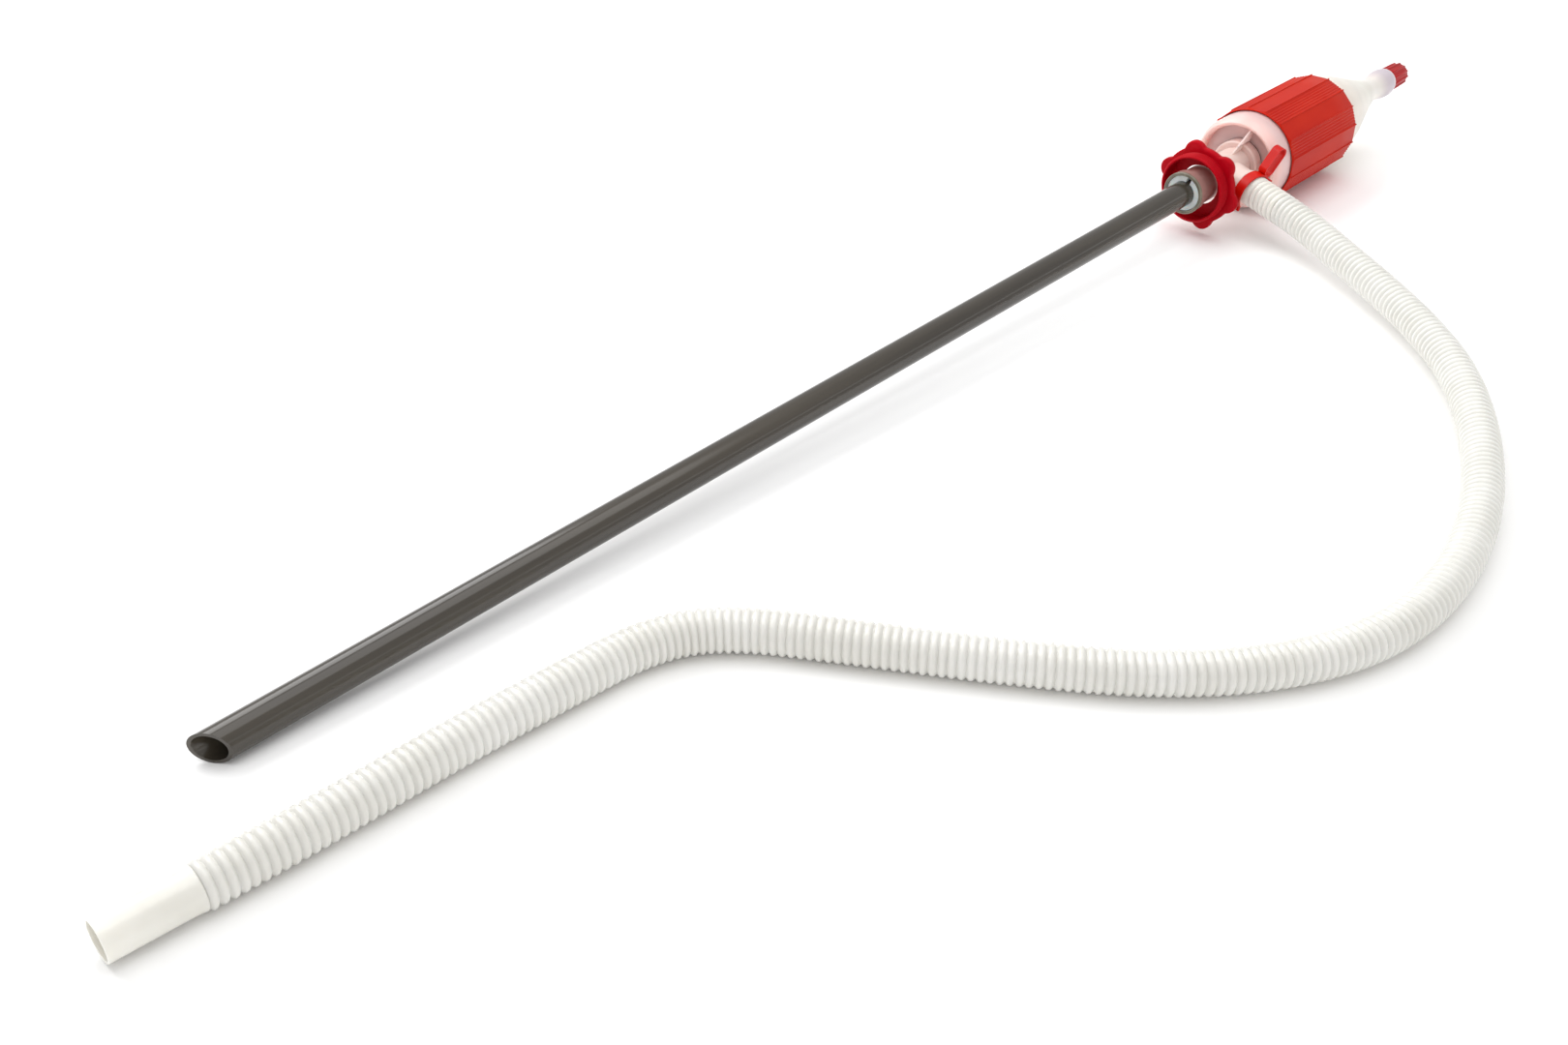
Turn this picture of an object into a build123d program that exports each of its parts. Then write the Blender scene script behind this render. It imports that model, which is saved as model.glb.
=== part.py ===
from build123d import *
import math
import os

# A hand drum pump lying on a table: suction tube, neck with side outlet, loose bung nut,
# telescoping cup and bottle under a ribbed grip sleeve, vent tower, and discharge hose.
# The pump axis runs along +X, +Z is up, and the origin is the bottom centre of the pump
# without its hose. Lengths are in millimetres and angles in degrees.

# ---- Driving dimensions -------------------------------------------------------------
HALF_LENGTH = 661.0          # from the origin to the tube's tip, and to the vent cap's end
AXIS_Y = 7.7                 # the pump axis, sideways from the origin

TUBE_RADIUS = 10.65          # half-inch PVC pipe
TUBE_BORE_RADIUS = 8.65
TUBE_TOP_X = 290.0
TIP_CUT_SLANT = 15.0         # how much longer the far side of the tip is
TIP_ASIDE = 27.1             # the tube's tip, sideways from the pump axis

SLEEVE_PANELS = 16
SLEEVE_RIDGE_RADIUS = 43.9
SLEEVE_CORNER_RADIUS = 43.2
SLEEVE_BORE_RADIUS = 41.3
SLEEVE_X = (368.0, 484.0)
SLEEVE_FRONT_RADIUS = 42.0
RIDGE_WIDTH = 1.3
RIDGE_OVERRUN = 3.0          # past the rear face
REAR_FLANGE = 4.0

CUP_RADIUS = 40.5
CUP_BORE_RADIUS = 38.3
CUP_RIM_RADIUS = 34.0
CUP_X = (344.0, 476.0)
CUP_WALL_X = (354.0, 356.2)

NECK_RADIUS = 15.7
NECK_BORE_RADIUS = 12.9
NECK_X = (261.25, 359.5)
NECK_BEAD_RADIUS = 17.7      # keeps the bung nut from sliding off the neck
NECK_BEAD_END = 268.4
NECK_STEM_RADIUS = 14.8      # where the neck passes through the cup's wall
BOSS_RADIUS = 21.0
BOSS_X = (343.0, 352.6)

RIB_ANGLES = (-15.0, 105.0, 225.0)    # from +Y towards +Z
RIB_THICKNESS = 1.1
RIB_TOP_X = 346.6            # where a rib's 45 degree edge meets the cup's recess

INLET_SEAT_X = 296.0
OUTLET_SEAT = 17.0           # along the outlet's axis
DISC_THICKNESS = 1.6
VALVE_LIFT = 3.0

COLLAR_RADIUS = 18.05
COLLAR_BORE_RADIUS = 15.3
COLLAR_X = (258.8, 261.2, 264.2)     # face, shoulder, end of the pressed-in skirt
COLLAR_SKIRT_RADIUS = 16.3
COLLAR_GROOVE = (16.4, 16.8)
COLLET_X = (259.6, 272.0)
COLLET_RADIUS = 13.6
COLLET_FLANGE_RADIUS = 15.0
COLLET_GAP = 4.0
COLLET_GAP_ANGLE = 108.0     # from +Y towards +Z

NUT_THREAD_RADIUS = 29.8     # G2 pipe thread, crest radius
NUT_INNER_RADIUS = 26.6
NUT_X = (272.0, 283.0, 289.0)    # rim, flange front, flange back
NUT_HOLE_RADIUS = 17.2
NUT_LOBES = 6
NUT_LOBE_REACH = 38.5
NUT_DROP = 0.6               # the loose nut hangs on the neck

OUTLET_X = 326.0
OUTLET_LEAN = 15.0           # towards the tube
OUTLET_DROOP = 8.0           # towards the floor
BRANCH_RADIUS = 12.6
BRANCH_BORE_RADIUS = 10.6
BRANCH_END = 26.0            # distances along the outlet's axis
SPIGOT_END = 58.0
CUFF_SPAN = (29.0, 70.0)
CLIP_SPAN = (31.4, 40.0)
CLIP_BAND = (16.0, 17.4)     # inner and outer radius
CLIP_ARC = (33.0, 214.0)     # from the horizontal line across the outlet, upwards
CLIP_HANG = (-1.3, -1.5)     # the loose band hangs on the cuff
EYE_LENGTH = 27.0
EYE_WIDTH = 11.0
EYE_WALL = 1.2
EYE_BAND = 8.0
EYE_ANGLE = 58.0

BOTTLE_RADIUS = 37.2
BOTTLE_WALL = 1.6
HEAD_X = (360.0, 372.0, 390.0)
HEAD_RADIUS = 38.0
SEAL_X = (366.0, 384.0)
SEAL_SECTION = 1.1

CAP_X = (631.4, 661.0)
CAP_RADIUS = 12.0
MOUTH_RADIUS = 8.0
MOUTH_BORE_RADIUS = 5.3
MOUTH_X = 648.0
CAP_RIBS = 12

HOSE_RADIUS = 13.5
HOSE_BORE_RADIUS = 11.5
END_CUFF_RADIUS = 12.0
END_CUFF_BORE_RADIUS = 10.5
END_CUFF_LENGTH = 50.0

# The hose's route beyond the first cuff: down to the table, round in a wide bend and
# back beside the tube's tip. The first point is worked out from the outlet.
HOSE_ROUTE = [
    (282.5, -119.5, 26.6),
    (249.0, -177.0, 23.4),
    (213.0, -231.0, 20.8),
    (165.0, -284.0, 19.0),
    (92.0, -332.0, 17.5),
    (12.0, -368.0, 15.0),
    (-72.0, -386.0, 13.6),
    (-152.0, -380.0, 13.6),
    (-218.0, -346.0, 13.6),
    (-270.0, -296.0, 13.6),
    (-315.0, -229.0, 13.6),
    (-356.0, -161.0, 13.6),
    (-395.0, -97.0, 13.6),
    (-434.0, -72.0, 13.6),
    (-496.0, -66.0, 13.6),
    (-560.0, -60.5, 13.6),
    (-620.0, -57.5, 13.6),
    (-672.0, -54.5, 13.6),
    (-711.0, -51.0, 13.6),
]
FIRST_RUN = 26.0

# ---- Places worked out from them ----------------------------------------------------
half_panel = 180.0 / SLEEVE_PANELS
AXIS_Z = (
    SLEEVE_RIDGE_RADIUS * math.cos(math.radians(half_panel))
    + RIDGE_WIDTH / 2 * math.sin(math.radians(half_panel))
)
COLLET_MID_X = (COLLET_X[0] + COLLET_X[1]) / 2
TUBE_REACH = Vector(-HALF_LENGTH - COLLET_MID_X, TIP_ASIDE, TUBE_RADIUS - AXIS_Z)

AXIS_PLACE = Location((0, AXIS_Y, AXIS_Z))
lean = math.radians(OUTLET_LEAN)
droop = math.radians(OUTLET_DROOP)
OUTLET_DIR = Vector(
    -math.sin(lean) * math.cos(droop), -math.cos(lean) * math.cos(droop), -math.sin(droop)
)
OUTLET_ACROSS = Vector(math.cos(lean), -math.sin(lean), 0)
OUTLET_ORIGIN = Vector(OUTLET_X, AXIS_Y, AXIS_Z)


def outlet_plane(distance):
    """A plane across the outlet at this distance along it, its Z outwards."""
    return Plane(OUTLET_ORIGIN + OUTLET_DIR * distance, x_dir=OUTLET_ACROSS, z_dir=OUTLET_DIR)


def outlet_ring(start, end, outer, inner=0.0):
    """A plain ring or rod on the outlet's axis."""
    plane = outlet_plane(start)
    solid = plane * extruded_circle(outer, end - start)
    if inner:
        solid -= plane * extruded_circle(inner, end - start)
    return solid


def extruded_circle(radius, length):
    return extrude(Circle(radius), amount=length)


def turned(points):
    """A closed outline of (x, radius) points turned about the pump axis."""
    face = make_face(Polyline(*points, close=True))
    return AXIS_PLACE * revolve(face, axis=Axis.X)


def axis_ring(start, end, outer, inner):
    return turned([(start, inner), (end, inner), (end, outer), (start, outer)])


def across_axis(x):
    """A plane across the pump axis at x: its X is the row's +Y and its Z is +X."""
    return Plane((x, AXIS_Y, AXIS_Z), x_dir=(0, 1, 0), z_dir=(1, 0, 0))


# ---- Suction side -------------------------------------------------------------------
def tube_place():
    """The tube's frame: its origin at the collet's middle, its Z towards the tip."""
    return Plane(
        (COLLET_MID_X, AXIS_Y, AXIS_Z), x_dir=(TUBE_REACH.Y, -TUBE_REACH.X, 0), z_dir=TUBE_REACH
    )


def tube_body(radius):
    behind = TUBE_TOP_X - COLLET_MID_X
    body = extruded_circle(radius, TUBE_REACH.length + behind)
    return tube_place() * Pos(0, 0, -behind) * body


def suction_tube():
    tube = tube_body(TUBE_RADIUS) - tube_body(TUBE_BORE_RADIUS)
    cut = math.degrees(math.atan2(TIP_CUT_SLANT, 2 * TUBE_RADIUS))
    size = 8 * TUBE_RADIUS
    wedge = Pos(TUBE_RADIUS, 0, TUBE_REACH.length) * Rot(0, -cut, 0) * Pos(0, 0, size / 2)
    return tube - tube_place() * wedge * Box(size, size, size)


def tube_collet():
    flange_end = COLLAR_X[2] + 0.05
    ring = axis_ring(*COLLET_X, COLLET_RADIUS, TUBE_BORE_RADIUS)
    ring += axis_ring(COLLET_X[0], flange_end, COLLET_FLANGE_RADIUS, TUBE_BORE_RADIUS)
    ring -= tube_body(TUBE_RADIUS + 0.02)
    gap = Rot(0, 0, COLLET_GAP_ANGLE) * Pos(COLLET_FLANGE_RADIUS, 0, 0)
    slot = gap * Box(COLLET_FLANGE_RADIUS, COLLET_GAP, 60)
    return ring - across_axis(COLLET_MID_X) * slot


def tube_seal():
    start = COLLET_X[1] + 0.1
    return axis_ring(start, start + 2.8, COLLET_RADIUS, TUBE_BORE_RADIUS) - tube_body(
        TUBE_RADIUS + 0.02
    )


def collar_ring():
    """A thin grooved ring on the neck's end, with a skirt pressed into the neck."""
    face, shoulder, skirt_end = COLLAR_X
    groove_inner, groove_outer = COLLAR_GROOVE
    return turned([
        (face, COLLAR_BORE_RADIUS), (skirt_end, COLLAR_BORE_RADIUS),
        (skirt_end, COLLAR_SKIRT_RADIUS), (shoulder, COLLAR_SKIRT_RADIUS),
        (shoulder, COLLAR_RADIUS - 0.4), (shoulder - 0.4, COLLAR_RADIUS),
        (face + 0.6, COLLAR_RADIUS), (face, COLLAR_RADIUS - 0.6),
        (face, groove_outer), (face + 0.4, groove_outer),
        (face + 0.4, groove_inner), (face, groove_inner),
    ])


def neck_tee():
    seat_end = COLLET_X[1] + 3.0
    bead_start = NECK_X[1] - 3.0
    barrel = turned([
        (NECK_X[0], 0), (NECK_X[0], NECK_BEAD_RADIUS), (NECK_BEAD_END - 1, NECK_BEAD_RADIUS),
        (NECK_BEAD_END, NECK_RADIUS), (BOSS_X[0], NECK_RADIUS),
        (BOSS_X[0], BOSS_RADIUS - 1), (BOSS_X[0] + 1, BOSS_RADIUS), (BOSS_X[1], BOSS_RADIUS),
        (BOSS_X[1], NECK_STEM_RADIUS), (bead_start, NECK_STEM_RADIUS),
        (bead_start, NECK_RADIUS), (NECK_X[1], NECK_RADIUS), (NECK_X[1], 0),
    ])
    barrel += outlet_ring(0, BRANCH_END, BRANCH_RADIUS)
    for angle in RIB_ANGLES:
        gusset = Polyline(
            (rib_edge(NECK_RADIUS - 1), NECK_RADIUS - 1), (rib_edge(BOSS_RADIUS), BOSS_RADIUS),
            (BOSS_X[1], BOSS_RADIUS), (BOSS_X[1], NECK_RADIUS - 1), close=True,
        )
        barrel += rib_solid(gusset, angle)
    barrel -= axis_ring(NECK_X[0] - 1, NECK_X[1] + 1, NECK_BORE_RADIUS, 0)
    barrel -= axis_ring(NECK_X[0] - 1, seat_end, COLLET_RADIUS + 0.1, 0)
    barrel -= axis_ring(NECK_X[0] - 1, COLLAR_X[2] + 0.1, COLLAR_SKIRT_RADIUS + 0.05, 0)
    barrel -= outlet_ring(0, BRANCH_END + 1, BRANCH_BORE_RADIUS)
    return barrel


def rib_edge(radius):
    """A rib's front edge: X at a radius, on a 45 degree line."""
    return RIB_TOP_X - (CUP_RIM_RADIUS - radius)


def rib_solid(outline, angle):
    """A thin radial rib: an outline of (x, radius), at an angle from +Y towards +Z."""
    rib = extrude(make_face(outline), amount=RIB_THICKNESS / 2, both=True)
    return AXIS_PLACE * Rot(angle, 0, 0) * rib


# ---- Valves -------------------------------------------------------------------------
def inlet_valve_seat():
    return axis_ring(INLET_SEAT_X, INLET_SEAT_X + 4, NECK_BORE_RADIUS - 0.05, 7.0)


def inlet_valve_disc():
    start = INLET_SEAT_X + 4.05
    return axis_ring(start, start + DISC_THICKNESS, 9.5, 0)


def inlet_valve_cage():
    start = INLET_SEAT_X + 4.2
    stop = INLET_SEAT_X + 4.05 + DISC_THICKNESS + VALVE_LIFT + 0.3
    cage = axis_ring(start, stop + 1.4, NECK_BORE_RADIUS - 0.05, 11.2)
    for angle in (0, 90):
        bar = across_axis(stop + 0.7) * Rot(0, 0, angle) * Box(23.6, 2.4, 1.4)
        cage += bar
    return cage


def outlet_valve_seat():
    return outlet_ring(OUTLET_SEAT, OUTLET_SEAT + 2.5, BRANCH_BORE_RADIUS - 0.05, 5.4)


def outlet_valve_disc():
    start = OUTLET_SEAT + 2.55
    return outlet_ring(start, start + DISC_THICKNESS, 7.2)


def outlet_spigot():
    start = OUTLET_SEAT + 2.6
    stop = OUTLET_SEAT + 2.55 + DISC_THICKNESS + VALVE_LIFT + 0.3
    flange_end = BRANCH_END + 2.6
    spigot = outlet_ring(start, SPIGOT_END, BRANCH_BORE_RADIUS - 0.1)
    spigot += outlet_ring(BRANCH_END + 0.05, flange_end, BRANCH_RADIUS + 1)
    for barb in range(3):
        base = SPIGOT_END - 7 - 8 * barb
        cone = outlet_plane(base + 2.5) * Cone(11.2, 10.4, 5)
        spigot += cone
    spigot -= outlet_ring(start - 1, SPIGOT_END + 1, 8.4)
    for angle in (0, 90):
        bar = outlet_plane(stop + 0.7) * Rot(0, 0, angle) * Box(18, 2, 1.4)
        spigot += bar
    return spigot


# ---- Cup and its fittings -----------------------------------------------------------
def cylinder_cup():
    rim_x, back_x = CUP_X
    wall_front, wall_back = CUP_WALL_X
    crest = (CUP_RADIUS + CUP_RIM_RADIUS) / 2
    hole = NECK_STEM_RADIUS + 0.1
    outline = [
        Line((back_x, CUP_RADIUS), (rim_x + 7, CUP_RADIUS)),
        ThreePointArc(
            (rim_x + 7, CUP_RADIUS), (rim_x + 2.2, CUP_RADIUS - 1.6), (rim_x, crest)
        ),
        ThreePointArc((rim_x, crest), (rim_x + 1.1, CUP_RIM_RADIUS + 0.7), (rim_x + 4, CUP_RIM_RADIUS)),
        Line((rim_x + 4, CUP_RIM_RADIUS), (wall_front, CUP_RIM_RADIUS)),
        Line((wall_front, CUP_RIM_RADIUS), (wall_front, hole)),
        Line((wall_front, hole), (wall_back, hole)),
        Line((wall_back, hole), (wall_back, CUP_BORE_RADIUS)),
        Line((wall_back, CUP_BORE_RADIUS), (back_x, CUP_BORE_RADIUS)),
        Line((back_x, CUP_BORE_RADIUS), (back_x, CUP_RADIUS)),
    ]
    cup = AXIS_PLACE * revolve(make_face(outline), axis=Axis.X)
    for angle in RIB_ANGLES:
        foot = BOSS_RADIUS + 0.1
        rib = Polyline(
            (wall_front + 0.5, foot), (rib_edge(foot), foot),
            (rib_edge(CUP_RIM_RADIUS + 1), CUP_RIM_RADIUS + 1),
            (wall_front + 0.5, CUP_RIM_RADIUS + 1), close=True,
        )
        cup += rib_solid(rib, angle)
    return cup


def cup_gasket():
    return axis_ring(BOSS_X[1] + 0.05, CUP_WALL_X[0] - 0.05, BOSS_RADIUS - 0.5, NECK_STEM_RADIUS + 0.1)


def cylinder_stop_ring():
    return axis_ring(CUP_X[1] + 0.05, CUP_X[1] + 3, CUP_RADIUS, BOTTLE_RADIUS + 0.3)


# ---- Moving plunger -----------------------------------------------------------------
def bottle_outline(inset):
    """The bottle's section outside or, with an inset, inside: shoulder, waist, bulb, mouth."""
    shoulder = Spline(
        (492, BOTTLE_RADIUS - inset), (515, 34.0 - inset), (538, 26.6 - inset),
        (561, 18.9 - inset), (583, 12.9 - inset), (596, 10.5 - inset), (609, 12.5 - inset),
        (620, 13.6 - inset), (628, 12.4 - inset),
        tangents=((1, 0), (1, -0.35)),
    )
    return shoulder


def plunger_bottle():
    head_start, head_step = HEAD_X[1] + 0.05, HEAD_X[2] + 0.05
    plug = BOTTLE_RADIUS - 1.8
    outer_curve = bottle_outline(0)
    outer = [
        Line((head_start, 0), (head_start, plug)),
        Line((head_start, plug), (head_step, plug)),
        Line((head_step, plug), (head_step, BOTTLE_RADIUS)),
        Line((head_step, BOTTLE_RADIUS), (492, BOTTLE_RADIUS)),
        outer_curve,
        Line((628, 12.4), (630.6, MOUTH_RADIUS)),
        Line((630.6, MOUTH_RADIUS), (MOUTH_X, MOUTH_RADIUS)),
        Line((MOUTH_X, MOUTH_RADIUS), (MOUTH_X, 0)),
        Line((MOUTH_X, 0), (head_start, 0)),
    ]
    inner_curve = bottle_outline(BOTTLE_WALL)
    narrow = plug - BOTTLE_WALL
    inner = [
        Line((head_start - 1, 0), (head_start - 1, narrow)),
        Line((head_start - 1, narrow), (head_step + 1, narrow)),
        Line((head_step + 1, narrow), (head_step + 3, BOTTLE_RADIUS - BOTTLE_WALL)),
        Line((head_step + 3, BOTTLE_RADIUS - BOTTLE_WALL), (492, BOTTLE_RADIUS - BOTTLE_WALL)),
        inner_curve,
        Line((628, 12.4 - BOTTLE_WALL), (630, MOUTH_BORE_RADIUS)),
        Line((630, MOUTH_BORE_RADIUS), (MOUTH_X + 1, MOUTH_BORE_RADIUS)),
        Line((MOUTH_X + 1, MOUTH_BORE_RADIUS), (MOUTH_X + 1, 0)),
        Line((MOUTH_X + 1, 0), (head_start - 1, 0)),
    ]
    outside = revolve(make_face(outer), axis=Axis.X)
    inside = revolve(make_face(inner), axis=Axis.X)
    return AXIS_PLACE * (outside - inside)


def piston_head():
    front, step, back = HEAD_X
    plug = BOTTLE_RADIUS - 1.8 + 0.05
    lip = plug - BOTTLE_WALL
    head = turned([
        (front, lip), (step, lip), (step, plug), (back, plug), (back, HEAD_RADIUS),
        (front + 1, HEAD_RADIUS), (front, HEAD_RADIUS - 1),
    ])
    groove_floor = CUP_BORE_RADIUS - 0.1 - 2 * SEAL_SECTION - 0.05
    for x in SEAL_X:
        head -= axis_ring(x - SEAL_SECTION - 0.2, x + SEAL_SECTION + 0.2, CUP_BORE_RADIUS, groove_floor)
    return head


def piston_seal(x):
    radius = CUP_BORE_RADIUS - 0.08 - SEAL_SECTION
    return Location((x, AXIS_Y, AXIS_Z), (0, 90, 0)) * Torus(radius, SEAL_SECTION)


def grip_sleeve():
    """Flat panels with a raised ridge on each corner, a round front edge, and a rear flange."""
    start, end = SLEEVE_X
    length = end - start
    turn = Rot(0, 0, 90 + half_panel)
    prism = extrude(turn * RegularPolygon(SLEEVE_CORNER_RADIUS, SLEEVE_PANELS), amount=length)
    for ridge in range(SLEEVE_PANELS):
        angle = -90 + half_panel + ridge * 2 * half_panel
        bar = Rot(0, 0, angle) * Pos(SLEEVE_RIDGE_RADIUS - 2, 0, 0) * Box(
            4, RIDGE_WIDTH, length + RIDGE_OVERRUN, align=(Align.CENTER, Align.CENTER, Align.MIN)
        )
        prism += bar
    tall = length + 3 * RIDGE_OVERRUN
    chamfer_cone = Cone(SLEEVE_FRONT_RADIUS, SLEEVE_FRONT_RADIUS + tall / 1.2, tall,
                        align=(Align.CENTER, Align.CENTER, Align.MIN))
    prism &= chamfer_cone
    bore = Cylinder(SLEEVE_BORE_RADIUS, length - REAR_FLANGE,
                    align=(Align.CENTER, Align.CENTER, Align.MIN))
    grip = Cylinder(BOTTLE_RADIUS + 0.05, 3 * length)
    behind = Pos(0, 0, length) * Cylinder(
        SLEEVE_BORE_RADIUS, 2 * RIDGE_OVERRUN, align=(Align.CENTER, Align.CENTER, Align.MIN)
    )
    return across_axis(start) * (prism - bore - grip - behind)


# ---- Vent ---------------------------------------------------------------------------
def vent_plug():
    head = axis_ring(MOUTH_X + 0.05, MOUTH_X + 1.6, MOUTH_RADIUS, 0)
    stem = axis_ring(MOUTH_X - 34, MOUTH_X + 0.1, MOUTH_BORE_RADIUS - 0.5, 0)
    pin = axis_ring(MOUTH_X + 1.5, MOUTH_X + 6, 2.0, 0)
    return head + stem + pin


def vent_cap():
    start, end = CAP_X
    inside = MOUTH_RADIUS + 0.35
    shelf = MOUTH_X + 1.65
    cap = turned([
        (start, inside), (shelf, inside), (shelf, 2.06), (MOUTH_X + 6.5, 2.06),
        (MOUTH_X + 6.5, 0), (end, 0), (end, CAP_RADIUS - 3.2), (end - 2, CAP_RADIUS - 1.6),
        (start, CAP_RADIUS - 0.7),
    ])
    for rib in range(CAP_RIBS):
        bar = Rot(0, 0, rib * 360 / CAP_RIBS) * Pos(CAP_RADIUS - 1.5, 0, 0) * Box(
            3, 1.6, end - start - 3, align=(Align.CENTER, Align.CENTER, Align.MIN)
        )
        cap += across_axis(start + 0.5) * bar
    return cap


# ---- Bung nut -----------------------------------------------------------------------
def bung_nut():
    rim, flange_front, flange_back = NUT_X
    lobe_radius = 9.2
    lobe_centre = NUT_LOBE_REACH - lobe_radius
    flange = Circle(NUT_LOBE_REACH - 5.3)
    for lobe in range(NUT_LOBES):
        angle = math.radians(15 + lobe * 360 / NUT_LOBES)
        flange += Pos(lobe_centre * math.cos(angle), lobe_centre * math.sin(angle)) * Circle(lobe_radius)
    flange_solid = extrude(flange, amount=flange_back - flange_front)
    flange_solid = fillet(flange_solid.edges().filter_by(GeomType.CIRCLE), 0.8)
    nut = across_axis(flange_front) * flange_solid
    nut += turned([
        (rim, 0), (rim, NUT_THREAD_RADIUS - 0.8), (rim + 0.8, NUT_THREAD_RADIUS),
        (flange_front + 1, NUT_THREAD_RADIUS), (flange_front + 1, 0),
    ])
    nut -= axis_ring(rim - 1, flange_back - 3, NUT_INNER_RADIUS, 0)
    nut -= axis_ring(rim, flange_back + 1, NUT_HOLE_RADIUS, 0)
    return Pos(0, 0, -NUT_DROP) * nut


# ---- Hose and clip ------------------------------------------------------------------
def hose_clip():
    """A snap band open below, with turned-out lips and a long eye above."""
    inner, outer = CLIP_BAND
    start_angle, end_angle = CLIP_ARC
    band = Circle(outer) - Circle(inner)
    mouth = (start_angle + end_angle) / 2 + 180
    gap = 360 - (end_angle - start_angle)
    reach = 4 * outer
    corners = [(0, 0)]
    for step in (-0.5, -0.17, 0.17, 0.5):
        angle = math.radians(mouth + step * gap)
        corners.append((reach * math.cos(angle), reach * math.sin(angle)))
    band -= make_face(Polyline(*corners, close=True))
    middle = (inner + outer) / 2
    for angle, flare in ((start_angle, -50), (end_angle, 50)):
        lip = Rot(0, 0, angle) * Pos(middle, 0) * Rot(0, 0, flare) * Pos(1.6, 0) * SlotOverall(5.2, 1.6)
        band += lip
    width = CLIP_SPAN[1] - CLIP_SPAN[0]
    eye = SlotOverall(EYE_LENGTH, EYE_WIDTH) - SlotOverall(
        EYE_LENGTH - 2 * EYE_WALL, EYE_WIDTH - 2 * EYE_WALL
    )
    eye = Rot(0, 0, EYE_ANGLE) * Pos(outer - 0.6 + EYE_LENGTH / 2, 0, 0) * eye
    clip = extrude(band, amount=width)
    clip += Pos(0, 0, (width - EYE_BAND) / 2) * extrude(eye, amount=EYE_BAND)
    return outlet_plane(CLIP_SPAN[0]) * Pos(*CLIP_HANG, 0) * clip


def hose_route():
    start = OUTLET_ORIGIN + OUTLET_DIR * CUFF_SPAN[1]
    second = start + OUTLET_DIR * FIRST_RUN
    return [start, second] + [Vector(*point) for point in HOSE_ROUTE]


def route_radii(points):
    """Each corner's radius: 0.45 of its shorter run, over the tangent of half its turn."""
    radii = []
    for before, corner, after in zip(points, points[1:], points[2:]):
        turn = math.radians((corner - before).get_angle(after - corner))
        shorter = min((corner - before).length, (after - corner).length)
        radii.append(0.45 * shorter / math.tan(turn / 2))
    return radii


def hose_path():
    points = hose_route()
    return FilletPolyline(*points, radius=route_radii(points))


def hose(path):
    across = Plane(path @ 0, z_dir=path % 0)
    section = across * (Circle(HOSE_RADIUS) - Circle(HOSE_BORE_RADIUS))
    return sweep(section, path=path)


def hose_end_cuff(path):
    end = Plane(path @ 1, z_dir=path % 1)
    return end * (
        extruded_circle(END_CUFF_RADIUS, END_CUFF_LENGTH)
        - extruded_circle(END_CUFF_BORE_RADIUS, END_CUFF_LENGTH)
    )


# ---- Writing the sub-parts ----------------------------------------------------------
def main():
    os.makedirs("parts", exist_ok=True)
    path = hose_path()
    parts = {
        "suction_tube": suction_tube(),
        "tube_collet": tube_collet(),
        "tube_seal": tube_seal(),
        "collar_ring": collar_ring(),
        "neck_tee": neck_tee(),
        "inlet_valve_seat": inlet_valve_seat(),
        "inlet_valve_disc": inlet_valve_disc(),
        "inlet_valve_cage": inlet_valve_cage(),
        "outlet_valve_seat": outlet_valve_seat(),
        "outlet_valve_disc": outlet_valve_disc(),
        "outlet_spigot": outlet_spigot(),
        "cylinder_cup": cylinder_cup(),
        "cup_gasket": cup_gasket(),
        "cylinder_stop_ring": cylinder_stop_ring(),
        "plunger_bottle": plunger_bottle(),
        "piston_head": piston_head(),
        "piston_seal_front": piston_seal(SEAL_X[0]),
        "piston_seal_rear": piston_seal(SEAL_X[1]),
        "grip_sleeve": grip_sleeve(),
        "vent_plug": vent_plug(),
        "vent_cap": vent_cap(),
        "bung_nut": bung_nut(),
        "hose_clip": hose_clip(),
        "hose_start_cuff": outlet_ring(*CUFF_SPAN, HOSE_RADIUS, 11.3),
        "hose": hose(path),
        "hose_end_cuff": hose_end_cuff(path),
    }
    for name, solid in parts.items():
        export_step(Compound(children=list(solid.solids())), f"parts/{name}.step")
    area = math.pi * (HOSE_RADIUS**2 - HOSE_BORE_RADIUS**2)
    print("hose length", round(path.length, 1), "volume ratio", parts["hose"].volume / area / path.length)
    print("bend radii", [round(radius) for radius in route_radii(hose_route())])
    print("runs", [round((b - a).length) for a, b in zip(hose_route(), hose_route()[1:])])
    print("start of hose", hose_route()[:2], "axis height", AXIS_Z, "tube reach", TUBE_REACH)


main()
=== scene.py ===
"""A hand drum pump: suction tube, bung nut, telescoping barrel, vent tower and hose."""

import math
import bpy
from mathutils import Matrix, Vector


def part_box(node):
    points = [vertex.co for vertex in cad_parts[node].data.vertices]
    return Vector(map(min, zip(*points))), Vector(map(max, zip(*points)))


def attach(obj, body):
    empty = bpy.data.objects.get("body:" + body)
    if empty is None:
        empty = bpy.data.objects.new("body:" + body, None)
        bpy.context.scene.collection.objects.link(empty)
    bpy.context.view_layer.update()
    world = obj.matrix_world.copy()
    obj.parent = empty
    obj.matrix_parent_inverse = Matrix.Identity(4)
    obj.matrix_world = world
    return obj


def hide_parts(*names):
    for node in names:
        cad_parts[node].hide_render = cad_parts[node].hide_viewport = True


bl_info = {
    "name": "Hand Drum Pump",
    "version": (1, 0, 0),
    "blender": (4, 5, 0),
    "location": "3D View > Sidebar > Drum Pump",
    "description": "Builds a hand drum pump with its suction tube and corrugated hose",
    "category": "Add Mesh",
}

import bmesh
import bpy
import numpy as np
from bpy.props import FloatProperty, FloatVectorProperty, IntProperty, PointerProperty
from mathutils import Vector

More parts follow.
